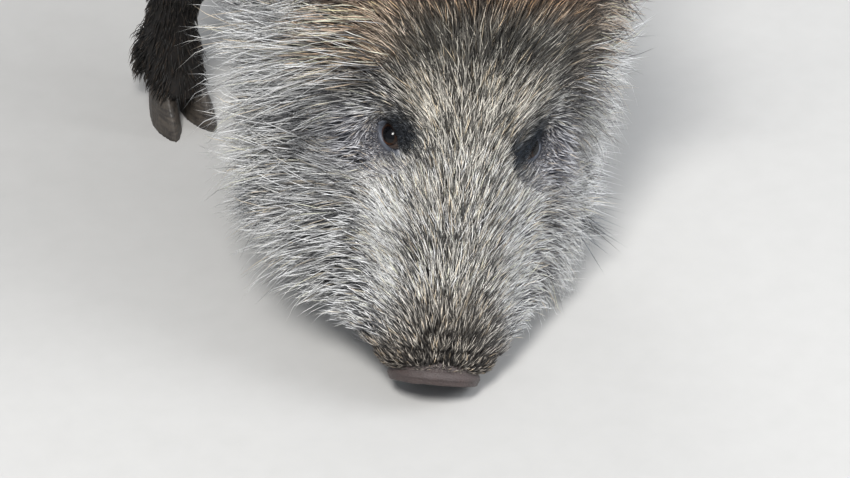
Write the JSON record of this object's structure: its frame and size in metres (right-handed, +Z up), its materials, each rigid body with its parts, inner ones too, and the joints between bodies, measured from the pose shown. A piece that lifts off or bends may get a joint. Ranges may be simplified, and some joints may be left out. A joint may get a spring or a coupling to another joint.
{
  "type": "wild boar",
  "caption": "Still, life-size wild boar in winter coat, standing with its head down and its nose on the ground, as a museum shows it.",
  "frame": {"origin": "on the ground, under the middle of the bounding box", "axes": "+Z up, -Y the way the trunk faces, +X towards the animal's left"},
  "size_m": [0.366, 1.0424, 0.6675],
  "materials": {
    "coat": "coarse grizzled winter coat, dark with pale tips",
    "dark_coat": "short dark brown-black coat",
    "nose_skin": "bare damp nose skin",
    "horn": "worn dark horn",
    "eyeball": "wet dark brown eye"
  },
  "bodies": {
    "root": {"head": "coat", "lower_jaw": "coat", "nose": "nose_skin", "eye_right": "eyeball", "eye_left": "eyeball", "ear_right": "dark_coat", "ear_left": "dark_coat", "neck": "coat", "trunk": "coat", "tail": "dark_coat", "foreleg_right": "dark_coat", "foreleg_right_hoof_inner": "horn", "foreleg_right_hoof_outer": "horn", "foreleg_right_dewclaw_inner": "horn", "foreleg_right_dewclaw_outer": "horn", "foreleg_left": "dark_coat", "foreleg_left_hoof_inner": "horn", "foreleg_left_hoof_outer": "horn", "foreleg_left_dewclaw_inner": "horn", "foreleg_left_dewclaw_outer": "horn", "hindleg_right": "dark_coat", "hindleg_right_hoof_inner": "horn", "hindleg_right_hoof_outer": "horn", "hindleg_right_dewclaw_inner": "horn", "hindleg_right_dewclaw_outer": "horn", "hindleg_left": "dark_coat", "hindleg_left_hoof_inner": "horn", "hindleg_left_hoof_outer": "horn", "hindleg_left_dewclaw_inner": "horn", "hindleg_left_dewclaw_outer": "horn"}
  },
  "joints": []
}
